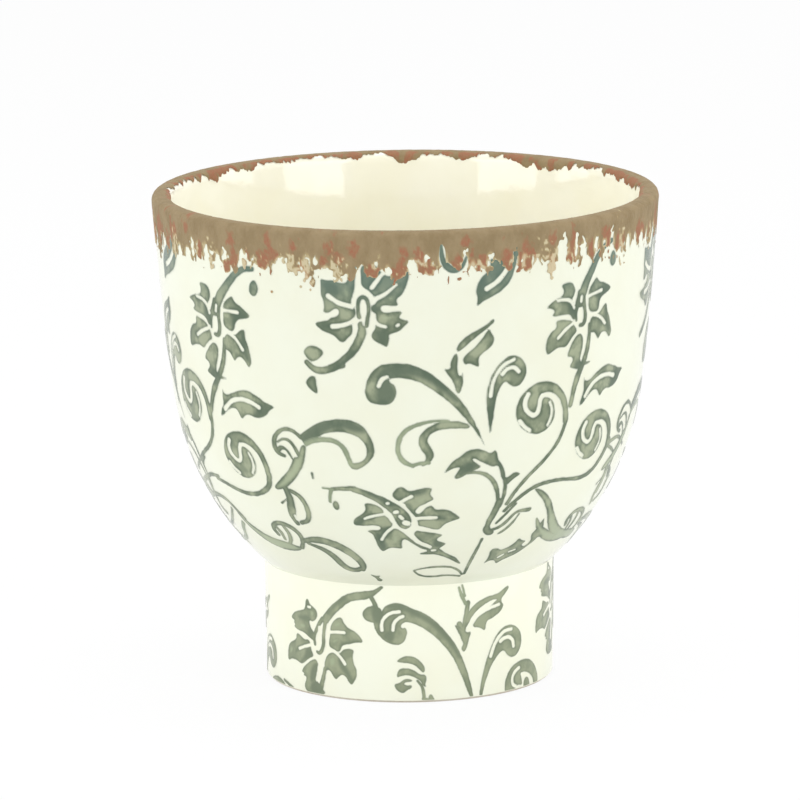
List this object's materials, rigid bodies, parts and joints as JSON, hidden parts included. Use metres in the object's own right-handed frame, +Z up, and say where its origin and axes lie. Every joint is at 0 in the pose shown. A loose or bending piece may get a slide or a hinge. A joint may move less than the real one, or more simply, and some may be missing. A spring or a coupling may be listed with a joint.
{
  "type": "footed cachepot",
  "caption": "Deep round ceramic cachepot on a hollow cylindrical foot, glazed inside and out, with a torn-edged wash on its rim; it stands on a table or floor and holds a potted plant.",
  "frame": {"origin": "centre of the foot on the ground the pot stands on", "axes": "+Z up along the axis of the turned pot; the side in the picture faces -Y"},
  "size_m": [0.1996, 0.1996, 0.194],
  "materials": {
    "clay": "bare fired clay, matte",
    "slip": "fired slip, matte",
    "cream_glaze": "glossy cream glaze with green glaze in the ornament",
    "rim_wash": "matte brown wash, broken by red-brown spots and tan drips"
  },
  "bodies": {
    "root": {"bowl_body": "clay", "foot_ring": "clay", "slip_joint": "slip", "bowl_glaze": "cream_glaze", "rim_wash": "rim_wash", "lining_glaze": "cream_glaze", "foot_glaze": "cream_glaze"}
  },
  "joints": []
}
